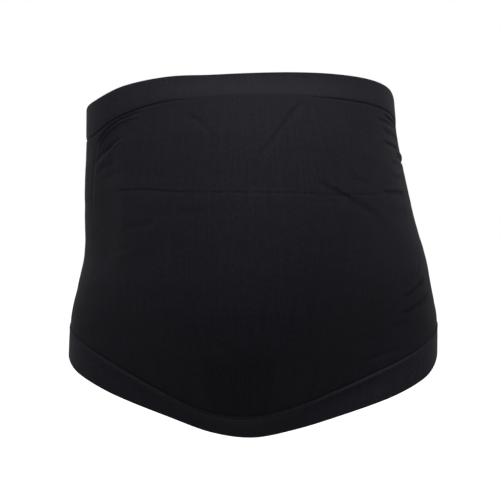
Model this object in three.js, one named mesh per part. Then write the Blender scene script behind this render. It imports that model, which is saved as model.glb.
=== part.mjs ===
// Maternity support band: a wide tube of stretch knit, in the form that it takes round a pregnant body.
// Millimetres, +Z up. The front faces -Y, and +X is on the left hand of the wearer.
// The origin is the middle of the body, at the height of the hem at the hips.
import * as THREE from "three";

// Form of the worn tube
const hipWidth = 366;
const torsoFrontDepth = 92;
const torsoBackDepth = 124;
const bellyDepth = 78;
const sideHeight = 246;
const rimRise = 28.5;
const hemDip = 77;

// Doubled bands at the rim and the hem
const topBandHeight = 30;
const bottomBandHeight = 32;
const bandThickness = 2.4;
const hemRollHeight = 4.5;
const hemRollDepth = 0.9;

// Knit of the tube, and the ribbed zone under the belly
const knitThickness = 1.4;
const ribThickness = 1.8;
const ribPitch = 2.4;
const ribDepth = 0.6;
const ribPanelWidth = 86;
const ribPanelHeight = 76;

// Folds, and the gap that is left where two pieces meet
const foldWidth = 7;
const foldDepth = 3.2;
const seamGap = 0.3;

// Angles, in degrees round the body from the front, and the roundness of a section (2 is an ellipse)
const bellySpread = 96;
const bellySway = 9;
const ribPanelTurn = -6;
const squareness = 2.3;

// Sections of the body. level goes from 0 at the lowest point of the hem to 1 at the highest of the rim. left and right
// are shares of half the hip width, front and back of the torso depths, belly of the belly depth, spread of the angle
// that the belly reaches to, and sway of the angle that it is turned by. The first section lies below the hem, so that
// the form goes on straight to the hem's edge.
const sections = [
  { level: -0.1, left: 0.98, right: 0.98, front: 0.88, belly: -0.3, spread: 0.5, sway: -1.0, back: 0.95 },
  { level: 0.0, left: 0.99, right: 0.99, front: 0.92, belly: 0.0, spread: 0.6, sway: -1.0, back: 0.97 },
  { level: 0.1, left: 1.0, right: 1.0, front: 0.96, belly: 0.35, spread: 0.7, sway: -1.0, back: 0.99 },
  { level: 0.22, left: 1.0, right: 1.0, front: 1.0, belly: 0.62, spread: 0.82, sway: -0.7, back: 1.0 },
  { level: 0.33, left: 0.984, right: 0.997, front: 1.0, belly: 0.82, spread: 0.92, sway: -0.4, back: 0.96 },
  { level: 0.42, left: 0.938, right: 0.964, front: 0.99, belly: 0.92, spread: 0.98, sway: -0.2, back: 0.89 },
  { level: 0.5, left: 0.909, right: 0.928, front: 0.98, belly: 0.96, spread: 0.98, sway: 0.0, back: 0.82 },
  { level: 0.59, left: 0.908, right: 0.873, front: 0.98, belly: 0.945, spread: 0.98, sway: 0.1, back: 0.78 },
  { level: 0.69, left: 0.911, right: 0.827, front: 0.98, belly: 0.86, spread: 0.98, sway: 0.2, back: 0.77 },
  { level: 0.82, left: 0.904, right: 0.778, front: 0.98, belly: 0.65, spread: 0.96, sway: 0.3, back: 0.8 },
  { level: 0.93, left: 0.902, right: 0.763, front: 0.97, belly: 0.34, spread: 0.94, sway: 0.3, back: 0.83 },
  { level: 1.0, left: 0.895, right: 0.755, front: 0.957, belly: 0.08, spread: 0.9, sway: 0.3, back: 0.85 },
];

// Edges of the tube round the body. hem is the share of the hem's dip, rim the share of the rim's rise, and topBand
// and bottomBand are shares of the bands' heights.
const edges = [
  { turn: -180, hem: -0.18, rim: -0.36, topBand: 0.95, bottomBand: 0.95 },
  { turn: -130, hem: -0.14, rim: -0.3, topBand: 0.98, bottomBand: 0.98 },
  { turn: -90, hem: 0.005, rim: -0.06, topBand: 1.05, bottomBand: 1.04 },
  { turn: -76, hem: 0.242, rim: 0.18, topBand: 1.16, bottomBand: 1.11 },
  { turn: -62, hem: 0.492, rim: 0.645, topBand: 1.05, bottomBand: 1.08 },
  { turn: -45, hem: 0.718, rim: 0.9, topBand: 0.96, bottomBand: 0.93 },
  { turn: -25, hem: 0.93, rim: 0.94, topBand: 0.98, bottomBand: 0.9 },
  { turn: 0, hem: 1.0, rim: 1.0, topBand: 1.0, bottomBand: 0.92 },
  { turn: 25, hem: 0.9, rim: 1.03, topBand: 1.02, bottomBand: 0.86 },
  { turn: 45, hem: 0.745, rim: 0.995, topBand: 0.97, bottomBand: 0.93 },
  { turn: 62, hem: 0.54, rim: 0.868, topBand: 0.93, bottomBand: 1.03 },
  { turn: 76, hem: 0.28, rim: 0.62, topBand: 0.93, bottomBand: 1.03 },
  { turn: 90, hem: -0.03, rim: 0.18, topBand: 0.9, bottomBand: 1.0 },
  { turn: 130, hem: -0.15, rim: -0.25, topBand: 0.93, bottomBand: 0.96 },
  { turn: 180, hem: -0.18, rim: -0.36, topBand: 0.95, bottomBand: 0.95 },
];

// Folds and creases of the tube, each a soft groove through three points. turn is the angle round the body, and rise
// the share of the way from the lower seam to the upper one. width and depth are shares of the fold's sizes.
const folds = [
  { turn1: -51, rise1: 0.985, turn2: -66.8, rise2: 0.982, turn3: -72.3, rise3: 0.93, width: 0.9, depth: 1.0 },
  { turn1: -56.8, rise1: 0.912, turn2: -63, rise2: 0.885, turn3: -69, rise3: 0.866, width: 0.8, depth: 0.8 },
  { turn1: -72.3, rise1: 0.93, turn2: -72.3, rise2: 0.69, turn3: -69.3, rise3: 0.417, width: 0.9, depth: 0.35 },
  { turn1: -52, rise1: 0.56, turn2: -44, rise2: 0.577, turn3: -37, rise3: 0.6, width: 0.9, depth: 0.25 },
  { turn1: -57.5, rise1: 0.466, turn2: -52, rise2: 0.48, turn3: -46.5, rise3: 0.498, width: 0.9, depth: 0.2 },
  { turn1: -33, rise1: 0.955, turn2: -22, rise2: 0.918, turn3: -15.7, rise3: 0.864, width: 0.8, depth: 0.3 },
  { turn1: 24.4, rise1: 0.99, turn2: 14, rise2: 0.92, turn3: 0.7, rise3: 0.786, width: 0.9, depth: 0.4 },
  { turn1: -60, rise1: 0.702, turn2: -15, rise2: 0.708, turn3: 28, rise3: 0.678, width: 0.9, depth: 0.25 },
  { turn1: 66, rise1: 0.978, turn2: 74, rise2: 0.966, turn3: 84, rise3: 0.963, width: 0.6, depth: 0.5 },
  { turn1: 59.7, rise1: 0.942, turn2: 69, rise2: 0.947, turn3: 79, rise3: 0.937, width: 0.7, depth: 0.6 },
  { turn1: 61.4, rise1: 0.86, turn2: 67, rise2: 0.856, turn3: 76, rise3: 0.848, width: 0.7, depth: 0.6 },
  { turn1: 70, rise1: 0.812, turn2: 78, rise2: 0.822, turn3: 92, rise3: 0.81, width: 0.8, depth: 1.0 },
  { turn1: 54.5, rise1: 0.67, turn2: 62, rise2: 0.667, turn3: 72, rise3: 0.66, width: 0.8, depth: 0.5 },
  { turn1: 37.5, rise1: 0.727, turn2: 42, rise2: 0.718, turn3: 46.5, rise3: 0.708, width: 0.7, depth: 0.3 },
  { turn1: 20.7, rise1: 0.726, turn2: 38, rise2: 0.647, turn3: 53, rise3: 0.572, width: 0.9, depth: 0.45 },
  { turn1: 73.5, rise1: 0.389, turn2: 70.5, rise2: 0.343, turn3: 67.5, rise3: 0.3, width: 0.8, depth: 0.5 },
  { turn1: 74, rise1: 0.295, turn2: 68, rise2: 0.268, turn3: 62, rise3: 0.274, width: 0.8, depth: 0.7 },
  { turn1: 76, rise1: 0.21, turn2: 69, rise2: 0.197, turn3: 62, rise3: 0.22, width: 0.8, depth: 0.6 },
  { turn1: 68, rise1: 0.153, turn2: 64, rise2: 0.15, turn3: 60, rise3: 0.152, width: 0.7, depth: 0.4 },
  { turn1: 51, rise1: 0.055, turn2: 58, rise2: 0.055, turn3: 66, rise3: 0.055, width: 0.6, depth: 0.4 },
];

// Soft hollow under the belly, above the ribbed zone, where the knit turns inwards.
const bellyHollow = { turn1: -18, rise1: 0.275, turn2: -5, rise2: 0.205, turn3: 28, rise3: 0.21, width: 1.6, depth: 0.4 };

const halfHip = hipWidth / 2;
const lowestLevel = -hemDip;
const highestLevel = sideHeight + rimRise;

// Reads one column of a table at a place between its rows, along a smooth curve that is level at both ends.
function readTable(table, key, at, column) {
  const place = THREE.MathUtils.clamp(at, table[0][key], table[table.length - 1][key]);
  const next = Math.max(1, table.findIndex((row) => row[key] >= place));
  const slope = (index) => {
    const before = table[index - 1];
    const after = table[index + 1];
    return before && after ? (after[column] - before[column]) / (after[key] - before[key]) : 0;
  };
  const low = table[next - 1];
  const high = table[next];
  const span = high[key] - low[key];
  const t = (place - low[key]) / span;
  const rise = t * t * (3 - 2 * t);
  const leave = t * (1 - t) * (1 - t) * slope(next - 1) * span;
  const arrive = t * t * (1 - t) * slope(next) * span;
  return low[column] + (high[column] - low[column]) * rise + leave - arrive;
}

function hemHeight(turn) {
  return -hemDip * readTable(edges, "turn", turn, "hem");
}

function rimHeight(turn) {
  return sideHeight + rimRise * readTable(edges, "turn", turn, "rim");
}

// The middle of the cloth at an angle round the body and a height, before it is folded.
function bodyPoint(turn, height) {
  const level = (height - lowestLevel) / (highestLevel - lowestLevel);
  const share = (column) => readTable(sections, "level", level, column);
  const angle = THREE.MathUtils.degToRad(turn);
  const side = halfHip * share(turn < 0 ? "left" : "right");
  const isFront = Math.abs(turn) < 90;
  const depth = isFront ? torsoFrontDepth * share("front") : torsoBackDepth * share("back");
  const across = Math.abs(Math.sin(angle)) / side;
  const along = Math.abs(Math.cos(angle)) / depth;
  const torso = (across ** squareness + along ** squareness) ** (-1 / squareness);
  const bellyTurn = Math.abs(turn - bellySway * share("sway"));
  const reach = Math.min(1, bellyTurn / (bellySpread * share("spread")));
  const belly = bellyDepth * share("belly") * (0.5 + 0.5 * Math.cos(Math.PI * reach));
  const radius = torso + belly;
  return new THREE.Vector3(radius * Math.sin(angle), -radius * Math.cos(angle), height);
}

// The outward direction of the unfolded cloth.
function bodyNormal(turn, height) {
  const turnStep = 0.5;
  const heightStep = 1.2;
  const round = bodyPoint(turn + turnStep, height).sub(bodyPoint(turn - turnStep, height));
  const up = bodyPoint(turn, height + heightStep).sub(bodyPoint(turn, height - heightStep));
  return round.cross(up).normalize();
}

// The height reached from a start height by following the cloth up, or down where the distance is negative.
function climb(turn, start, distance) {
  const steps = 12;
  let height = start;
  for (let step = 0; step < steps; step += 1) {
    const here = bodyPoint(turn, height);
    const stride = distance / steps;
    const there = bodyPoint(turn, height + stride);
    height += (stride * Math.abs(stride)) / here.distanceTo(there);
  }
  return height;
}

function topSeamHeight(turn) {
  return climb(turn, rimHeight(turn), -topBandHeight * readTable(edges, "turn", turn, "topBand"));
}

function bottomSeamHeight(turn) {
  return climb(turn, hemHeight(turn), bottomBandHeight * readTable(edges, "turn", turn, "bottomBand"));
}

// The height at a share of the way from the lower seam to the upper one.
function tubeHeight(turn, rise) {
  return THREE.MathUtils.lerp(bottomSeamHeight(turn), topSeamHeight(turn), rise);
}

// The line of a fold on the unfolded cloth, as short straight stretches.
function foldLine(fold) {
  const stretches = 10;
  const points = [];
  for (let index = 0; index <= stretches; index += 1) {
    const t = index / stretches;
    const first = (1 - t) * (1 - 2 * t);
    const middle = 4 * t * (1 - t);
    const last = t * (2 * t - 1);
    const turn = first * fold.turn1 + middle * fold.turn2 + last * fold.turn3;
    const rise = first * fold.rise1 + middle * fold.rise2 + last * fold.rise3;
    points.push(bodyPoint(turn, tubeHeight(turn, rise)));
  }
  return points;
}

const foldLines = [...folds, bellyHollow].map((fold) => ({
  points: foldLine(fold),
  width: foldWidth * fold.width,
  depth: foldDepth * fold.depth,
}));

// How far the folds move the cloth out, at a point of the unfolded cloth. A fold is a groove between two low ridges.
function foldOffset(point) {
  const stretch = new THREE.Line3();
  const nearest = new THREE.Vector3();
  let offset = 0;
  for (const { points, width, depth } of foldLines) {
    let distance = Infinity;
    for (let index = 1; index < points.length; index += 1) {
      stretch.set(points[index - 1], points[index]).closestPointToPoint(point, true, nearest);
      distance = Math.min(distance, nearest.distanceTo(point));
    }
    const reach = (distance / width) ** 2;
    offset -= depth * (1 - reach) * Math.exp(-reach);
  }
  return offset;
}

// Folds fade out at the seams, so that the pieces still meet edge to edge.
function seamFade(rise) {
  const fadeShare = 0.03;
  return THREE.MathUtils.smoothstep(Math.min(rise, 1 - rise), 0, fadeShare);
}

// Evenly spaced values from the start of each span up to, but not including, its end.
function spread(spans) {
  const values = [];
  for (const { from, to, count } of spans) {
    for (let index = 0; index < count; index += 1) {
      values.push(THREE.MathUtils.lerp(from, to, index / count));
    }
  }
  return values;
}

// A wall of cloth over a grid of columns and rows. place gives a corner of the grid on the outer side (+1) or the
// inner side (-1), and hasCell says whether the cloth covers a cell.
function clothWall({ columns, rows, closed, place, hasCell = () => true }) {
  const cellColumns = closed ? columns : columns - 1;
  const cellCorners = [[0, 0], [1, 0], [1, 1], [0, 1]];
  const neighbours = [[0, -1], [1, 0], [0, 1], [-1, 0]];
  const makeSurface = (side) =>
    Array.from({ length: columns }, (_, column) =>
      Array.from({ length: rows }, (__, row) => place(column, row, side)));
  const outerSurface = makeSurface(1);
  const innerSurface = makeSurface(-1);
  const cellOf = (surface, column, row) => cellCorners.map(([x, y]) => surface[(column + x) % columns][row + y]);
  const covers = (column, row) => {
    const wrapped = closed ? (column + columns) % columns : column;
    return wrapped >= 0 && wrapped < cellColumns && row >= 0 && row < rows - 1 && hasCell(wrapped, row);
  };
  const positions = [];
  const addFace = (...corners) => {
    const [a, b, c, d] = corners;
    for (const point of [a, b, c, a, c, d]) {
      positions.push(point.x, point.y, point.z);
    }
  };
  for (let column = 0; column < cellColumns; column += 1) {
    for (let row = 0; row < rows - 1; row += 1) {
      if (!covers(column, row)) {
        continue;
      }
      const outer = cellOf(outerSurface, column, row);
      const inner = cellOf(innerSurface, column, row);
      addFace(...outer);
      addFace(...inner.toReversed());
      neighbours.forEach(([x, y], index) => {
        if (!covers(column + x, row + y)) {
          const following = (index + 1) % neighbours.length;
          addFace(inner[index], inner[following], outer[following], outer[index]);
        }
      });
    }
  }
  const geometry = new THREE.BufferGeometry();
  geometry.setAttribute("position", new THREE.Float32BufferAttribute(positions, 3));
  geometry.computeVertexNormals();
  return geometry;
}

// The ribbed zone reaches up from the lower seam, between two lines that run up the belly.
const ribPanelFoot = climb(ribPanelTurn, bottomSeamHeight(ribPanelTurn), seamGap);
const ribPanelHead = climb(ribPanelTurn, ribPanelFoot, ribPanelHeight);
const ribPanelRise = (ribPanelHead - ribPanelFoot) / (topSeamHeight(ribPanelTurn) - ribPanelFoot);
const ribHeadPoint = bodyPoint(ribPanelTurn, ribPanelHead);
const ribHeadRadius = Math.hypot(ribHeadPoint.x, ribHeadPoint.y);
const ribHalfTurn = THREE.MathUtils.radToDeg(ribPanelWidth / 2 / ribHeadRadius);
const ribFootPoint = bodyPoint(ribPanelTurn, ribPanelFoot);
const gapTurn = THREE.MathUtils.radToDeg(seamGap / Math.hypot(ribFootPoint.x, ribFootPoint.y));
const openingLeft = ribPanelTurn - ribHalfTurn - gapTurn;
const openingRight = ribPanelTurn + ribHalfTurn + gapTurn;

// Columns round the body, closest at the flanks, where the folds are.
const flankFront = 50;
const flankBack = 100;
const columnSpans = [
  { from: -180, to: -flankBack, count: 9 },
  { from: -flankBack, to: -flankFront, count: 18 },
  { from: -flankFront, to: openingLeft, count: 7 },
  { from: openingLeft, to: openingRight, count: 9 },
  { from: openingRight, to: flankFront, count: 10 },
  { from: flankFront, to: flankBack, count: 18 },
  { from: flankBack, to: 180, count: 9 },
];
const columnTurns = spread(columnSpans);
const openingColumn = columnTurns.indexOf(openingLeft);
const openingColumns = columnSpans.find((span) => span.from === openingLeft).count;

// The plain tube, between the seams and round the ribbed zone.
function makeBodyTube() {
  const upperRise = 0.68;
  const ribRows = 4;
  const rises = spread([
    { from: 0, to: ribPanelRise, count: ribRows },
    { from: ribPanelRise, to: upperRise, count: 8 },
    { from: upperRise, to: 1, count: 9 },
  ]).concat(1);
  const feet = columnTurns.map((turn) => climb(turn, bottomSeamHeight(turn), seamGap));
  const heads = columnTurns.map((turn) => climb(turn, topSeamHeight(turn), -seamGap));
  const isOverRibs = (column) => column >= openingColumn && column <= openingColumn + openingColumns;
  const place = (column, row, side) => {
    const turn = columnTurns[column];
    let height = THREE.MathUtils.lerp(feet[column], heads[column], rises[row]);
    if (row === ribRows && isOverRibs(column)) {
      height = climb(turn, height, seamGap);
    }
    const point = bodyPoint(turn, height);
    const offset = foldOffset(point) * seamFade(rises[row]) + (side * knitThickness) / 2;
    return point.addScaledVector(bodyNormal(turn, height), offset);
  };
  const hasCell = (column, row) =>
    row >= ribRows || column < openingColumn || column >= openingColumn + openingColumns;
  return clothWall({ columns: columnTurns.length, rows: rises.length, closed: true, place, hasCell });
}

// The doubled band round the rim. Its edge is the rounded fold of the cloth.
function makeTopBand() {
  const profile = [
    { rise: 0, thickness: 0.7 },
    { rise: 0.1, thickness: 1 },
    { rise: 0.93, thickness: 1 },
    { rise: 1, thickness: 0.45 },
  ];
  const place = (column, row, side) => {
    const turn = columnTurns[column];
    const { rise, thickness } = profile[row];
    const height = THREE.MathUtils.lerp(topSeamHeight(turn), rimHeight(turn), rise);
    const offset = (side * bandThickness * thickness) / 2;
    return bodyPoint(turn, height).addScaledVector(bodyNormal(turn, height), offset);
  };
  return clothWall({ columns: columnTurns.length, rows: profile.length, closed: true, place });
}

// The doubled band round the hem, with the raised roll along its upper edge.
function makeBottomBand() {
  const rollRise = 1 - hemRollHeight / bottomBandHeight;
  const profile = [
    { rise: 0, thickness: 0.45, roll: 0 },
    { rise: 0.07, thickness: 1, roll: 0 },
    { rise: rollRise, thickness: 1, roll: 0 },
    { rise: (1 + rollRise) / 2, thickness: 1, roll: 1 },
    { rise: 1, thickness: 0.7, roll: 0 },
  ];
  const place = (column, row, side) => {
    const turn = columnTurns[column];
    const { rise, thickness, roll } = profile[row];
    const height = THREE.MathUtils.lerp(hemHeight(turn), bottomSeamHeight(turn), rise);
    const rollOffset = side > 0 ? hemRollDepth * roll : 0;
    const offset = (side * bandThickness * thickness) / 2 + rollOffset;
    return bodyPoint(turn, height).addScaledVector(bodyNormal(turn, height), offset);
  };
  return clothWall({ columns: columnTurns.length, rows: profile.length, closed: true, place });
}

// The zone of fine upright ribs. Every second column is the top of a rib.
function makeRibPanel() {
  const ribs = Math.round(ribPanelWidth / ribPitch);
  const turns = spread([{ from: -ribHalfTurn, to: ribHalfTurn, count: 2 * ribs }])
    .concat(ribHalfTurn)
    .map((turn) => ribPanelTurn + turn);
  const ribRows = 5;
  const feet = turns.map((turn) => climb(turn, bottomSeamHeight(turn), seamGap));
  const heads = turns.map((turn) => climb(turn, topSeamHeight(turn), -seamGap));
  const place = (column, row, side) => {
    const turn = turns[column];
    const height = THREE.MathUtils.lerp(feet[column], heads[column], (ribPanelRise * row) / ribRows);
    const point = bodyPoint(turn, height);
    const groove = side > 0 && column % 2 === 0 ? ribDepth : 0;
    const offset = foldOffset(point) * seamFade((ribPanelRise * row) / ribRows) + (side * ribThickness) / 2;
    return point.addScaledVector(bodyNormal(turn, height), offset - groove);
  };
  return clothWall({ columns: turns.length, rows: ribRows + 1, closed: false, place });
}

// The pieces, from the plain tube to the ribbed zone. Doubled knit is smoother, and so a little lighter.
const pieces = [
  { name: "body_tube", makeGeometry: makeBodyTube, color: 0x1c1c25, roughness: 0.86 },
  { name: "top_band", makeGeometry: makeTopBand, color: 0x22222c, roughness: 0.82 },
  { name: "bottom_band", makeGeometry: makeBottomBand, color: 0x1e1e28, roughness: 0.82 },
  { name: "under_belly_rib_panel", makeGeometry: makeRibPanel, color: 0x191920, roughness: 0.9 },
];

const band = new THREE.Group();
for (const { name, makeGeometry, color, roughness } of pieces) {
  const material = new THREE.MeshStandardMaterial({ color, roughness, metalness: 0 });
  const mesh = new THREE.Mesh(makeGeometry(), material);
  mesh.name = name;
  band.add(mesh);
}

export default band;
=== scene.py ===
import math

import bpy
import mathutils
import numpy as np
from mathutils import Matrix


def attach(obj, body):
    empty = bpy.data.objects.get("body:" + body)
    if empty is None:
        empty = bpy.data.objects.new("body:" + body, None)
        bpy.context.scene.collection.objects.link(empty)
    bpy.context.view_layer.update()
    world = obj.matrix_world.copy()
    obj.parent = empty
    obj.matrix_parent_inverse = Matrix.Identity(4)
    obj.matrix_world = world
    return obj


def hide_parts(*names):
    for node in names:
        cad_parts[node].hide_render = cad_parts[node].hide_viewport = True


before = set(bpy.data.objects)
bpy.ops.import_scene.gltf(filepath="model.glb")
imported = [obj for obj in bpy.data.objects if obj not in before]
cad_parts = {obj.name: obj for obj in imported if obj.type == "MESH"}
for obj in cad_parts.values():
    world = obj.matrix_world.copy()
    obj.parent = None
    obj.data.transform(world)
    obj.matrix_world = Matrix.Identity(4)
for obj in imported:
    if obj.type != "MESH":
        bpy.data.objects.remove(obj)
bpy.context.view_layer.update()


# The camera stands level with the middle of the belly, two and a half metres in front of the hips.
# A long lens keeps the sides of the band upright, as in the photograph.
camera_data = bpy.data.cameras.new("camera")
camera_data.sensor_width = 36
camera_data.lens = 180
camera_distance = 2.5
belly_middle_height = 0.104
camera = bpy.data.objects.new("camera", camera_data)
camera.location = (-0.003, -camera_distance, belly_middle_height)
camera.rotation_euler = (math.radians(90), 0, 0)
bpy.context.collection.objects.link(camera)
bpy.context.scene.camera = camera
bpy.context.scene.view_settings.view_transform = "Standard"


# The floor is one plain pale sheet, well below the band, which hangs as it is worn.
# It is so wide that it reaches the horizon from every side.
floor_height = -0.3
floor_radius = 40
bpy.ops.object.select_all(action="DESELECT")
bpy.ops.mesh.primitive_circle_add(
    vertices=64, radius=floor_radius, fill_type="NGON", location=(0, 0, floor_height)
)
floor = bpy.context.active_object
floor.name = "floor"
floor_paint = bpy.data.materials.new("floor_paint")
floor_paint.use_nodes = True
floor_shader = floor_paint.node_tree.nodes["Principled BSDF"]
floor_shader.inputs["Base Color"].default_value = (0.8, 0.8, 0.8, 1)
floor_shader.inputs["Roughness"].default_value = 1
floor_shader.inputs["Specular IOR Level"].default_value = 0
floor_shader.inputs["Emission Color"].default_value = (1, 1, 1, 1)
floor_shader.inputs["Emission Strength"].default_value = 0.8
floor.data.materials.append(floor_paint)
floor.visible_diffuse = False
floor.visible_glossy = False


# The light of a studio with a white backdrop: bright from behind, less so low down, and dim from in front.
# Two wide soft lamps are high and low in front of the belly. The camera sees a white background all round.
light_all_round = 0.2
light_from_behind = 0.62
low_backdrop_share = 0.45
studio = bpy.data.worlds.new("studio")
bpy.context.scene.world = studio
studio.use_nodes = True
studio_nodes = studio.node_tree.nodes
studio_links = studio.node_tree.links
backdrop_place = studio_nodes.new("ShaderNodeTexCoord")
backdrop_split = studio_nodes.new("ShaderNodeSeparateXYZ")
backdrop_share = studio_nodes.new("ShaderNodeMapRange")
backdrop_share.interpolation_type = "SMOOTHSTEP"
backdrop_share.inputs["From Min"].default_value = -0.1
backdrop_share.inputs["From Max"].default_value = 0.5
backdrop_share.inputs["To Min"].default_value = 0
backdrop_share.inputs["To Max"].default_value = light_from_behind
low_share = studio_nodes.new("ShaderNodeMapRange")
low_share.interpolation_type = "SMOOTHSTEP"
low_share.inputs["From Min"].default_value = -0.8
low_share.inputs["From Max"].default_value = 0.2
low_share.inputs["To Min"].default_value = low_backdrop_share
low_share.inputs["To Max"].default_value = 1
dimming = studio_nodes.new("ShaderNodeMath")
dimming.operation = "MULTIPLY_ADD"
dimming.inputs[2].default_value = light_all_round
rays = studio_nodes.new("ShaderNodeLightPath")
brightness = studio_nodes.new("ShaderNodeMath")
brightness.operation = "MAXIMUM"
studio_links.new(backdrop_place.outputs["Generated"], backdrop_split.inputs["Vector"])
studio_links.new(backdrop_split.outputs["Y"], backdrop_share.inputs["Value"])
studio_links.new(backdrop_split.outputs["Z"], low_share.inputs["Value"])
studio_links.new(backdrop_share.outputs["Result"], dimming.inputs[0])
studio_links.new(low_share.outputs["Result"], dimming.inputs[1])
studio_links.new(dimming.outputs[0], brightness.inputs[0])
studio_links.new(rays.outputs["Is Camera Ray"], brightness.inputs[1])
studio_links.new(brightness.outputs[0], studio_nodes["Background"].inputs["Strength"])
studio_nodes["Background"].inputs["Color"].default_value = (1, 1, 1, 1)


band_middle_height = 0.1


def soft_lamp(name, width, height, power, place):
    """A soft rectangular lamp in front of the belly, pointed at the middle of the band."""
    lamp_data = bpy.data.lights.new(name, "AREA")
    lamp_data.shape = "RECTANGLE"
    lamp_data.size = width
    lamp_data.size_y = height
    lamp_data.energy = power
    lamp = bpy.data.objects.new(name, lamp_data)
    lamp.location = place
    towards = mathutils.Vector((0, 0, band_middle_height)) - lamp.location
    lamp.rotation_euler = towards.to_track_quat("-Z", "Y").to_euler()
    bpy.context.collection.objects.link(lamp)


soft_lamp("high_lamp", width=1.6, height=1.0, power=42, place=(0.15, -1.1, 2.1))
soft_lamp("low_lamp", width=1.6, height=0.6, power=30, place=(0, -2.9, floor_height))


# The body tube is the plain stretch knit of the band, knitted in the round without a side seam.
# Worn, it follows the torso and bulges over the belly, with small gathers at both flanks.
hip_width = 0.366
torso_front_depth = 0.092
torso_back_depth = 0.124
belly_depth = 0.078
side_height = 0.246
rim_rise = 0.0285
hem_dip = 0.077
top_band_height = 0.030
bottom_band_height = 0.032
knit_thickness = 0.0014
rib_panel_width = 0.086
rib_panel_height = 0.076
rib_panel_turn = -6
seam_gap = 0.0003
belly_spread = 96
belly_sway = 9
squareness = 2.3

# Sections of the worn tube. level goes from 0 at the lowest point of the hem to 1 at the highest of the rim.
# The other rows are shares of the sizes above. The first section lies below the hem, so that the form goes on
# straight to the hem's edge.
sections = {
    "level": (-0.1, 0.0, 0.1, 0.22, 0.33, 0.42, 0.5, 0.59, 0.69, 0.82, 0.93, 1.0),
    "left": (0.98, 0.99, 1.0, 1.0, 0.984, 0.938, 0.909, 0.908, 0.911, 0.904, 0.902, 0.895),
    "right": (0.98, 0.99, 1.0, 1.0, 0.997, 0.964, 0.928, 0.873, 0.827, 0.778, 0.763, 0.755),
    "front": (0.88, 0.92, 0.96, 1.0, 1.0, 0.99, 0.98, 0.98, 0.98, 0.98, 0.97, 0.957),
    "belly": (-0.3, 0.0, 0.35, 0.62, 0.82, 0.92, 0.96, 0.945, 0.86, 0.65, 0.34, 0.08),
    "spread": (0.5, 0.6, 0.7, 0.82, 0.92, 0.98, 0.98, 0.98, 0.98, 0.96, 0.94, 0.9),
    "sway": (-1.0, -1.0, -1.0, -0.7, -0.4, -0.2, 0.0, 0.1, 0.2, 0.3, 0.3, 0.3),
    "back": (0.95, 0.97, 0.99, 1.0, 0.96, 0.89, 0.82, 0.78, 0.77, 0.8, 0.83, 0.85),
}

# Rim, hem and bands at angles round the body from the front, as shares of the sizes above.
edges = {
    "turn": (-180, -130, -90, -76, -62, -45, -25, 0, 25, 45, 62, 76, 90, 130, 180),
    "hem": (-0.18, -0.14, 0.005, 0.242, 0.492, 0.718, 0.93, 1, 0.9, 0.745, 0.54, 0.28, -0.03, -0.15, -0.18),
    "rim": (-0.36, -0.3, -0.06, 0.18, 0.645, 0.9, 0.94, 1, 1.03, 0.995, 0.868, 0.62, 0.18, -0.25, -0.36),
    "top_band": (0.95, 0.98, 1.05, 1.16, 1.05, 0.96, 0.98, 1, 1.02, 0.97, 0.93, 0.93, 0.9, 0.93, 0.95),
    "bottom_band": (0.95, 0.98, 1.04, 1.11, 1.08, 0.93, 0.9, 0.92, 0.86, 0.93, 1.03, 1.03, 1, 0.96, 0.95),
}


def read_pattern(pattern, key, at, row):
    """Reads a row of the pattern between its columns, along a smooth curve that is level at both ends."""
    keys = np.array(pattern[key], float)
    values = np.array(pattern[row], float)
    slopes = np.zeros(len(keys))
    slopes[1:-1] = (values[2:] - values[:-2]) / (keys[2:] - keys[:-2])
    place = np.clip(at, keys[0], keys[-1])
    high = np.clip(np.searchsorted(keys, place), 1, len(keys) - 1)
    low = high - 1
    span = keys[high] - keys[low]
    t = (place - keys[low]) / span
    climbing = (values[high] - values[low]) * t * t * (3 - 2 * t)
    bend = slopes[low] * t * (1 - t) ** 2 - slopes[high] * t * t * (1 - t)
    return values[low] + climbing + bend * span


def hem_height(turn):
    return -hem_dip * read_pattern(edges, "turn", turn, "hem")


def rim_height(turn):
    return side_height + rim_rise * read_pattern(edges, "turn", turn, "rim")


def body_point(turn, height):
    """The middle of the cloth at an angle round the body and a height, before it is folded."""
    turn, height = np.broadcast_arrays(turn, height)
    level = (height + hem_dip) / (side_height + rim_rise + hem_dip)

    def share(row):
        return read_pattern(sections, "level", level, row)

    angle = np.radians(turn)
    side = hip_width / 2 * np.where(turn < 0, share("left"), share("right"))
    is_front = np.abs(turn) < 90
    depth = np.where(is_front, torso_front_depth * share("front"), torso_back_depth * share("back"))
    across = np.abs(np.sin(angle)) / side
    along = np.abs(np.cos(angle)) / depth
    torso = (across**squareness + along**squareness) ** (-1 / squareness)
    belly_turn = np.abs(turn - belly_sway * share("sway"))
    reach = np.minimum(1, belly_turn / (belly_spread * share("spread")))
    radius = torso + belly_depth * share("belly") * (0.5 + 0.5 * np.cos(np.pi * reach))
    return np.stack([radius * np.sin(angle), -radius * np.cos(angle), height], axis=-1)


def body_normal(turn, height):
    """The outward direction of the unfolded cloth."""
    turn_step = 0.5
    height_step = 0.0012
    around = body_point(turn + turn_step, height) - body_point(turn - turn_step, height)
    up = body_point(turn, height + height_step) - body_point(turn, height - height_step)
    normal = np.cross(around, up)
    return normal / np.linalg.norm(normal, axis=-1, keepdims=True)


def climb(turn, start, distance):
    """The height reached from a start height by following the cloth up, or down for a negative distance."""
    steps = 12
    turn = np.asarray(turn, float)
    height = np.broadcast_to(start, turn.shape).astype(float)
    stride = distance / steps
    for _ in range(steps):
        there = body_point(turn, height + stride) - body_point(turn, height)
        height = height + stride * np.abs(stride) / np.linalg.norm(there, axis=-1)
    return height


def top_seam_height(turn):
    band_height = top_band_height * read_pattern(edges, "turn", turn, "top_band")
    return climb(turn, rim_height(turn), -band_height)


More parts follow.
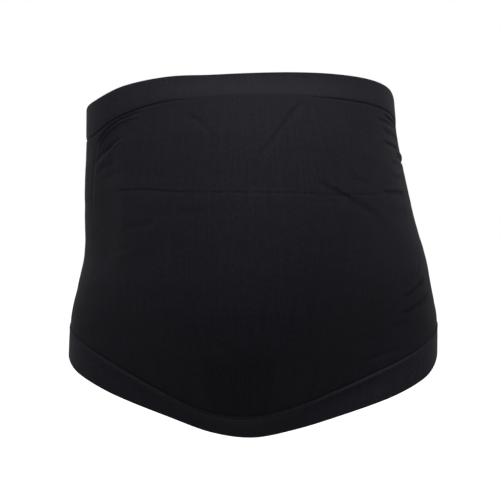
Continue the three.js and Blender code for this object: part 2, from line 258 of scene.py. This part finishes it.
def bottom_seam_height(turn):
    band_height = bottom_band_height * read_pattern(edges, "turn", turn, "bottom_band")
    return climb(turn, hem_height(turn), band_height)


def mesh_steps(*parts):
    """Evenly spaced values in each part, given as start, end and count, without the last end."""
    return np.concatenate([np.linspace(start, end, count, endpoint=False) for start, end, count in parts])


def smooth_step(value, low, high):
    """A soft rise from 0 to 1, from a low value to a high one."""
    t = np.clip((value - low) / (high - low), 0, 1)
    return t * t * (3 - 2 * t)


# Folds and creases of the tube: angle round the body and share of the way from the lower seam to the upper
# one at three points, then width and depth in millimetres. The last number is the height of the lip on the
# left of the fold, as a share of the depth, or of the lip on its right where it is negative. The last row has
# a negative depth: it is a soft ridge, where the flank of the tube bulges.
folds = (
    (-50.9, 0.978, -64.5, 0.974, -72, 0.925, 1.1, 1.5, 0.9),
    (-58.5, 0.9, -63, 0.885, -68.8, 0.863, 1.1, 1.1, 0.5),
    (-72, 0.93, -72.8, 0.8, -72.2, 0.62, 1.6, 0.5, 0.3),
    (-72.5, 0.845, -68, 0.865, -62, 0.88, 2.4, 0.7, -0.6),
    (-71, 0.79, -66, 0.805, -59, 0.815, 2.2, 0.4, 0.3),
    (-70, 0.745, -62, 0.76, -53, 0.765, 2.2, 0.3, 0.3),
    (-52.4, 0.553, -42.8, 0.572, -37.4, 0.592, 2.0, 0.7, 0.3),
    (-58.1, 0.458, -52, 0.475, -47.1, 0.489, 2.0, 0.5, 0.3),
    (-26.4, 0.628, -21, 0.636, -15.7, 0.641, 2.0, 0.6, 0.3),
    (-32.6, 0.952, -22, 0.918, -15.7, 0.862, 1.6, 0.6, 0.3),
    (24.4, 0.99, 13, 0.91, 0.7, 0.786, 1.6, 1.2, -0.4),
    (0.7, 0.8, -1, 0.74, 0.5, 0.69, 1.6, 0.6, -0.3),
    (-61, 0.688, -39, 0.694, -17, 0.696, 0.8, 0.5, 0.3),
    (-22, 0.696, 4, 0.691, 30, 0.677, 0.8, 0.5, 0.3),
    (24, 0.679, 42, 0.67, 56, 0.665, 0.9, 0.35, 0.3),
    (66, 0.979, 73.3, 0.966, 82, 0.966, 1.2, 0.9, 0.8),
    (60, 0.945, 68, 0.947, 80, 0.938, 1.4, 0.8, 0.5),
    (61.4, 0.86, 67, 0.856, 77, 0.848, 1.5, 0.9, 0.5),
    (72, 0.815, 79, 0.82, 92, 0.805, 1.6, 1.6, 0.8),
    (62, 0.905, 71, 0.902, 82, 0.893, 2.2, 0.6, 0.6),
    (64, 0.78, 72, 0.775, 84, 0.765, 2.2, 0.6, 0.6),
    (62, 0.725, 70, 0.72, 80, 0.715, 2.2, 0.5, 0.6),
    (54.5, 0.668, 62, 0.666, 72, 0.658, 1.8, 0.9, 0.4),
    (37.9, 0.731, 42, 0.72, 47.1, 0.71, 1.8, 0.4, 0.3),
    (20.7, 0.73, 38, 0.652, 53.8, 0.572, 2.0, 0.8, 0.4),
    (56, 0.572, 63, 0.585, 71, 0.6, 2.0, 0.5, 0.5),
    (73.8, 0.386, 70.8, 0.341, 67.9, 0.303, 1.6, 0.8, -0.4),
    (75, 0.3, 69, 0.272, 63, 0.262, 1.3, 1.5, -0.5),
    (77, 0.222, 70, 0.202, 62.5, 0.196, 1.3, 1.5, -0.5),
    (66.5, 0.157, 63, 0.156, 60.5, 0.157, 2.0, 0.8, -0.4),
    (50.6, 0.062, 58, 0.056, 66, 0.046, 1.3, 0.7, -0.4),
    (-17.9, 0.269, -9, 0.207, 0, 0.188, 3.0, 0.6, 0.2),
    (-52, 0.36, -53, 0.66, -57.5, 1.0, 17, -2.6, 0),
)


millimetres = 1000


def fold_offset(points):
    """How far the folds move the cloth out. A fold is a groove, steep on one side, where it has a lip."""
    offset = np.zeros(points.shape[:-1])
    cloth_points = points * millimetres
    stretches = 12
    reach = 5
    far_side = 2.2
    lip_place = 1.9
    lip_width = 1.2
    fade_start, fade_end = -0.02, 0.22
    t = np.linspace(0, 1, stretches + 1)
    for turn_1, rise_1, turn_2, rise_2, turn_3, rise_3, width, depth, lip in folds:
        parts = ((1 - t) * (1 - 2 * t), 4 * t * (1 - t), t * (2 * t - 1))
        turn = parts[0] * turn_1 + parts[1] * turn_2 + parts[2] * turn_3
        rise = parts[0] * rise_1 + parts[1] * rise_2 + parts[2] * rise_3
        height = (1 - rise) * bottom_seam_height(turn) + rise * top_seam_height(turn)
        line = body_point(turn, height) * millimetres
        normal = body_normal(turn, height)
        lowest = line.min(0) - reach * width
        highest = line.max(0) + reach * width
        near = np.all((cloth_points > lowest) & (cloth_points < highest), axis=-1)
        cloth = cloth_points[near]
        best = np.full(len(cloth), np.inf)
        side = np.zeros(len(cloth))
        along = np.zeros(len(cloth))
        for index in range(stretches):
            stretch = line[index + 1] - line[index]
            away = cloth - line[index]
            share = np.clip(away @ stretch / (stretch @ stretch), 0, 1)
            away = away - share[:, None] * stretch
            distance = np.linalg.norm(away, axis=1)
            closer = distance < best
            best[closer] = distance[closer]
            side[closer] = np.sign(away[closer] @ np.cross(normal[index], stretch))
            along[closer] = (index + share[closer]) / stretches
        q = side * best / width * (1 if lip >= 0 else -1)
        groove = np.exp(-np.where(q > 0, q, q / far_side) ** 2)
        ridge = abs(lip) * np.exp(-(((q - lip_place) / lip_width) ** 2))
        end = smooth_step(np.minimum(along, 1 - along), fade_start, fade_end)
        offset[near] += depth / millimetres * end * (ridge - groove)
    return offset


def unevenness(points):
    """How far the stretched knit swells and sinks in soft places, wider than they are high."""
    place_size = np.array((0.032, 0.032, 0.013))
    swell = 0.0004
    places = (points / place_size).reshape(-1, 3)
    return swell * np.array([mathutils.noise.noise(place) for place in places]).reshape(points.shape[:-1])


def knit_wall(name, outer, inner, outer_uv, closed=True, missing=None):
    """A wall of cloth between two grids of points, columns first, with its edges closed."""
    columns, rows = outer.shape[:2]
    vertices = np.concatenate([outer.reshape(-1, 3), inner.reshape(-1, 3)])
    ids = np.arange(columns * rows).reshape(columns, rows)
    inside = ids + columns * rows
    cell_columns = columns if closed else columns - 1
    has_cell = np.ones((cell_columns, rows - 1), bool)
    if missing is not None:
        has_cell[missing] = False
    faces = []
    window_edges = []
    for column in range(cell_columns):
        following = (column + 1) % columns
        for row in np.nonzero(has_cell[column])[0]:
            corners = ((column, row), (following, row), (following, row + 1), (column, row + 1))
            faces.append([ids[c] for c in corners])
            faces.append([inside[c] for c in reversed(corners)])
            before = (column - 1) % cell_columns
            after = (column + 1) % cell_columns
            covered = (
                row > 0 and has_cell[column, row - 1],
                (closed or column < cell_columns - 1) and has_cell[after, row],
                row < rows - 2 and has_cell[column, row + 1],
                (closed or column > 0) and has_cell[before, row],
            )
            for side in range(4):
                if not covered[side]:
                    a, b = corners[side], corners[(side + 1) % 4]
                    if missing is not None or not closed:
                        window_edges.append(len(faces))
                    faces.append([inside[a], inside[b], ids[b], ids[a]])
    mesh = bpy.data.meshes.new(name)
    mesh.from_pydata(vertices, [], faces)
    uv = np.concatenate([outer_uv.reshape(-1, 2)] * 2)
    corner_vertices = np.empty(len(mesh.loops), int)
    mesh.loops.foreach_get("vertex_index", corner_vertices)
    corner_uv = uv[corner_vertices]
    if closed:
        width = outer_uv[..., 0].max() + outer_uv[1, 0, 0] - outer_uv[0, 0, 0]
        starts = np.empty(len(mesh.polygons), int)
        totals = np.empty(len(mesh.polygons), int)
        mesh.polygons.foreach_get("loop_start", starts)
        mesh.polygons.foreach_get("loop_total", totals)
        face_of = np.repeat(np.arange(len(starts)), totals)
        highest = np.zeros(len(starts))
        np.maximum.at(highest, face_of, corner_uv[:, 0])
        corner_uv[:, 0] += np.where(highest[face_of] - corner_uv[:, 0] > width / 2, width, 0)
    layer = mesh.uv_layers.new(name="stitches")
    layer.data.foreach_set("uv", corner_uv.ravel())
    mesh.polygons.foreach_set("use_smooth", np.ones(len(mesh.polygons), bool))
    face_edges = np.empty(len(mesh.loops), int)
    mesh.loops.foreach_get("edge_index", face_edges)
    crisp = np.zeros(len(mesh.edges), bool)
    crisp[face_edges.reshape(-1, 4)[window_edges]] = True
    mesh.edges.foreach_set("use_edge_sharp", crisp)
    mesh.validate()
    piece = bpy.data.objects.new(name, mesh)
    bpy.context.collection.objects.link(piece)
    return piece


def stitch_uv(turn, rows):
    """Stitch columns round the tube, and courses up it, for a grid of points."""
    wales = 800
    middle = body_point(turn, np.full(len(turn), side_height / 2))
    steps = np.linalg.norm(np.roll(middle, -1, axis=0) - middle, axis=1)
    around = np.concatenate([[0], np.cumsum(steps)[:-1]]) / steps.sum() * wales
    return np.stack(np.broadcast_arrays(around[:, None], rows[None, :]), axis=-1)


rib_foot = float(climb(rib_panel_turn, bottom_seam_height(rib_panel_turn), seam_gap))
rib_head = float(climb(rib_panel_turn, rib_foot, rib_panel_height))
rib_rise = (rib_head - rib_foot) / (float(top_seam_height(rib_panel_turn)) - rib_foot)
rib_radius = np.linalg.norm(body_point(rib_panel_turn, rib_head)[:2])
rib_half_turn = math.degrees(rib_panel_width / 2 / rib_radius)

# The tube's mesh: angles and shares of the height, each part as its start, its end and its number of steps.
# The steps are finer where the folds lie. The columns of the ribbed zone are left out up to its head.
edge_under_band = 0.0004
seam_share = 0.02
groove_share = 0.012
ribs = 36
columns_before_ribs = (
    (-180, -84, 36),
    (-84, -50, 64),
    (-50, rib_panel_turn - rib_half_turn, 56),
)
columns_after_ribs = (
    (rib_panel_turn + rib_half_turn, 50, 64),
    (50, 92, 68),
    (92, 180, 33),
)
rib_span = (rib_panel_turn - rib_half_turn, rib_panel_turn + rib_half_turn, ribs)
tube_turns = mesh_steps(*columns_before_ribs, rib_span, *columns_after_ribs)
first_rib_column = sum(count for start, end, count in columns_before_ribs)
rib_columns = slice(first_rib_column, first_rib_column + ribs)
rows_beside_ribs = (
    (0, seam_share, 3),
    (seam_share, rib_rise, 22),
)
rows_above_ribs = (
    (rib_rise, 0.4, 24),
    (0.4, 0.66, 23),
    (0.66, 0.72, 18),
    (0.72, 0.8, 10),
    (0.8, 1 - seam_share, 33),
    (1 - seam_share, 1, 5),
)
tube_rises = np.append(mesh_steps(*rows_beside_ribs, *rows_above_ribs), 1)
rib_rows = slice(0, sum(count for start, end, count in rows_beside_ribs))
tube_foot = climb(tube_turns, bottom_seam_height(tube_turns), -edge_under_band)
tube_head = climb(tube_turns, top_seam_height(tube_turns), edge_under_band)
tube_heights = tube_foot[:, None] * (1 - tube_rises) + tube_head[:, None] * tube_rises
tube_points = body_point(tube_turns[:, None], tube_heights)
tube_normals = body_normal(tube_turns[:, None], tube_heights)
seam_fade = smooth_step(np.minimum(tube_rises, 1 - tube_rises), 0, seam_share)
tube_folds = (fold_offset(tube_points) + unevenness(tube_points)) * seam_fade


def top_seam_depth(turn):
    """The seam at the rim is drawn in at the flanks, and lies nearly flat over the belly."""
    least = 0.04
    flattest_turn = -3
    flat_reach, flank_reach = 20, 50
    return least + (1 - least) * smooth_step(np.abs(turn - flattest_turn), flat_reach, flank_reach)


def bottom_seam_depth(turn):
    """The seam at the hem is drawn in all round, and a little less under the belly."""
    least = 0.6
    flat_reach, flank_reach = 20, 45
    return least + (1 - least) * smooth_step(np.abs(turn), flat_reach, flank_reach)


seam_groove = 0.0009
edge_turn_in = seam_groove * (
    top_seam_depth(tube_turns)[:, None] * (1 - smooth_step(1 - tube_rises, 0, groove_share))
    + bottom_seam_depth(tube_turns)[:, None] * (1 - smooth_step(tube_rises, 0, groove_share))
)
outer_offset = tube_folds - edge_turn_in + knit_thickness / 2
inner_offset = tube_folds - knit_thickness / 2
courses = 420
tube_uv = stitch_uv(tube_turns, tube_rises * courses)
body_tube = knit_wall(
    "body_tube_knit",
    tube_points + tube_normals * outer_offset[..., None],
    tube_points + tube_normals * inner_offset[..., None],
    tube_uv,
    missing=(rib_columns, rib_rows),
)


def knit_material(name, color, roughness, bump):
    """Fine stretch knit: rows of small V stitches, faint upright streaks, and a soft bluish sheen."""
    material = bpy.data.materials.new(name)
    material.use_nodes = True
    nodes = material.node_tree.nodes
    links = material.node_tree.links
    shader = nodes["Principled BSDF"]
    shader.inputs["Roughness"].default_value = roughness
    shader.inputs["Specular IOR Level"].default_value = 0.12
    shader.inputs["Sheen Weight"].default_value = 0.02
    shader.inputs["Sheen Roughness"].default_value = 0.5
    shader.inputs["Sheen Tint"].default_value = (0.8, 0.8, 1, 1)

    def calculate(operation, *values):
        node = nodes.new("ShaderNodeMath")
        node.operation = operation
        for socket, value in zip(node.inputs, values):
            if isinstance(value, (int, float)):
                socket.default_value = value
            else:
                links.new(value, socket)
        return node.outputs[0]

    stitches = nodes.new("ShaderNodeUVMap")
    stitches.uv_map = "stitches"
    split = nodes.new("ShaderNodeSeparateXYZ")
    links.new(stitches.outputs["UV"], split.inputs[0])
    wale = calculate("FRACT", split.outputs["X"])
    from_middle = calculate("ABSOLUTE", calculate("SUBTRACT", wale, 0.5))
    leg = calculate("SINE", calculate("MULTIPLY", from_middle, 2 * math.pi))
    slant = calculate("SUBTRACT", split.outputs["Y"], from_middle)
    course = calculate("COSINE", calculate("MULTIPLY", slant, 2 * math.pi))
    course_depth = 0.3
    stitch = calculate("MULTIPLY", leg, calculate("MULTIPLY_ADD", course, course_depth, 1 - course_depth))

    streak_place = nodes.new("ShaderNodeMapping")
    streak_place.inputs["Scale"].default_value = (0.45, 0.012, 1)
    links.new(stitches.outputs["UV"], streak_place.inputs["Vector"])
    streaks = nodes.new("ShaderNodeTexNoise")
    streaks.inputs["Scale"].default_value = 1
    streaks.inputs["Detail"].default_value = 3
    links.new(streak_place.outputs["Vector"], streaks.inputs["Vector"])

    speckle_place = nodes.new("ShaderNodeMapping")
    speckle_place.inputs["Scale"].default_value = (0.4, 0.2, 1)
    links.new(stitches.outputs["UV"], speckle_place.inputs["Vector"])
    speckle = nodes.new("ShaderNodeTexNoise")
    speckle.inputs["Scale"].default_value = 1
    speckle.inputs["Detail"].default_value = 2
    links.new(speckle_place.outputs["Vector"], speckle.inputs["Vector"])

    tint = nodes.new("ShaderNodeMix")
    tint.data_type = "RGBA"
    darkest, lightest = 0.2, 1.8
    tint.inputs["A"].default_value = (*[c * darkest for c in color], 1)
    tint.inputs["B"].default_value = (*[c * lightest for c in color], 1)
    speckle_share, streak_share = 0.6, 0.4
    streak_shade = calculate("MULTIPLY", streaks.outputs["Fac"], streak_share)
    shade = calculate("MULTIPLY_ADD", speckle.outputs["Fac"], speckle_share, streak_shade)
    links.new(shade, tint.inputs["Factor"])
    links.new(tint.outputs["Result"], shader.inputs["Base Color"])

    streak_depth, stitch_depth = 0.6, 0.5
    stitch_relief = calculate("MULTIPLY", stitch, stitch_depth)
    relief = calculate("MULTIPLY_ADD", streaks.outputs["Fac"], streak_depth, stitch_relief)
    bump_node = nodes.new("ShaderNodeBump")
    bump_node.inputs["Strength"].default_value = bump
    bump_node.inputs["Distance"].default_value = 0.0002
    links.new(relief, bump_node.inputs["Height"])
    links.new(bump_node.outputs["Normal"], shader.inputs["Normal"])
    return material


plain_knit = knit_material("plain_knit", color=(0.0103, 0.0098, 0.0142), roughness=0.8, bump=0.6)
body_tube.data.materials.append(plain_knit)
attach(body_tube, "root")
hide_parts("body_tube")


# The top band is the same yarn knitted double and folded over at the rim, so it is thicker and smoother.
# It is knitted on to the tube, and only a thin groove shows where the two meet.
band_thickness = 0.0024
top_profile = {
    "rise": (0, 0.012, 0.03, 0.07, 0.16, 0.5, 0.88, 0.95, 0.985, 1),
    "thickness": (0.59, 0.62, 0.7, 0.85, 1, 1, 1, 0.95, 0.75, 0.45),
    "seam": (0.3, 0.65, 0.95, 1, 1, 1, 1, 1, 1, 1),
}
band_turns = tube_turns


def band_wall(name, foot, head, profile, thickness, courses, seam_depth, roll=None):
    """A doubled band between two heights, shaped by a profile, and thinner where its seam is drawn in."""
    rises = np.array(profile["rise"])
    heights = foot[:, None] * (1 - rises) + head[:, None] * rises
    points = body_point(band_turns[:, None], heights)
    normals = body_normal(band_turns[:, None], heights)
    drawn_in = (1 - np.array(profile["seam"])) * seam_depth(band_turns)[:, None]
    half = thickness * np.array(profile["thickness"]) * (1 - drawn_in) / 2
    out = half
    if roll:
        out = half + roll(band_turns)[:, None] * np.array(profile["roll"])
    uv = stitch_uv(band_turns, rises * courses)
    return knit_wall(name, points + normals * out[..., None], points - normals * half[..., None], uv)


top_band = band_wall(
    "top_band_knit",
    top_seam_height(band_turns),
    rim_height(band_turns),
    top_profile,
    band_thickness,
    courses=48,
    seam_depth=top_seam_depth,
)
band_knit = knit_material("band_knit", color=(0.0134, 0.0128, 0.0183), roughness=0.75, bump=0.5)
top_band.data.materials.append(band_knit)
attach(top_band, "root")
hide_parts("top_band")


# The bottom band is doubled in the same way, and goes under the belly to hold it up.
# Its upper edge stands proud as a thin roll just below the seam.
bottom_profile = {
    "rise": (0, 0.015, 0.05, 0.12, 0.5, 0.82, 0.86, 0.9, 0.94, 0.965, 0.985, 1),
    "thickness": (0.45, 0.75, 0.95, 1, 1, 1, 1, 1, 1, 1, 1, 1),
    "seam": (1, 1, 1, 1, 1, 1, 1, 1, 1, 0.9, 0.65, 0.3),
    "roll": (0, 0, 0, 0, 0, 0, 0.55, 1, 0.8, 0.4, 0.1, 0),
}


def bottom_roll(turn):
    """The roll stands proudest in front, and is stretched nearly flat at the flanks and the back."""
    roll_height = 0.0012
    flattened_share = 0.75
    front_reach, flank_reach = 48, 72
    return roll_height * (1 - flattened_share * smooth_step(np.abs(turn), front_reach, flank_reach))


bottom_band = band_wall(
    "bottom_band_knit",
    hem_height(band_turns),
    bottom_seam_height(band_turns),
    bottom_profile,
    band_thickness,
    courses=50,
    seam_depth=bottom_seam_depth,
    roll=bottom_roll,
)
bottom_band.data.materials.append(band_knit)
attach(bottom_band, "root")
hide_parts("bottom_band")


# The ribbed zone under the belly is knitted into the tube, in fine upright ribs that stretch less.
# It begins at the bottom band and ends where the belly bulges out.
rib_thickness = 0.0018
rib_depth = 0.0006
columns_per_rib = 8
ribs_fading_at_sides = 4
share_fading_at_head = 0.15
rib_turns = np.linspace(*rib_span[:2], ribs * columns_per_rib + 1)
rib_rises = tube_rises[: rib_rows.stop + 1]
rib_feet = climb(rib_turns, bottom_seam_height(rib_turns), -edge_under_band)
rib_heads = climb(rib_turns, top_seam_height(rib_turns), edge_under_band)
rib_heights = rib_feet[:, None] * (1 - rib_rises) + rib_heads[:, None] * rib_rises
rib_points = body_point(rib_turns[:, None], rib_heights)
rib_normals = body_normal(rib_turns[:, None], rib_heights)
rib_folds = (fold_offset(rib_points) + unevenness(rib_points)) * smooth_step(rib_rises, 0, seam_share)
rib_wave = 0.5 - 0.5 * np.cos(np.linspace(0, ribs, len(rib_turns)) * 2 * np.pi)
ribs_from_side = np.minimum(np.arange(len(rib_turns)), np.arange(len(rib_turns))[::-1]) / columns_per_rib
side_fade = smooth_step(ribs_from_side, 0, ribs_fading_at_sides)
head_fade = smooth_step(1 - rib_rises / rib_rise, 0, share_fading_at_head)
rib_relief = rib_depth * (rib_wave[:, None] - 0.5)
rib_groove = seam_groove * bottom_seam_depth(rib_turns)
rib_edge_in = rib_groove[:, None] * (1 - smooth_step(rib_rises, 0, groove_share))
rib_outer = rib_folds + knit_thickness / 2 + rib_relief * side_fade[:, None] * head_fade - rib_edge_in
rib_inner = rib_folds - rib_thickness / 2
rib_wales = np.interp(rib_turns, tube_turns, tube_uv[:, 0, 0])
rib_panel = knit_wall(
    "rib_panel_knit",
    rib_points + rib_normals * rib_outer[..., None],
    rib_points + rib_normals * rib_inner[..., None],
    np.stack(np.broadcast_arrays(rib_wales[:, None], rib_rises * courses), axis=-1),
    closed=False,
)
rib_knit = knit_material("rib_knit", color=(0.0103, 0.0098, 0.0142), roughness=0.8, bump=0.6)
rib_panel.data.materials.append(rib_knit)
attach(rib_panel, "root")
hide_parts("under_belly_rib_panel")
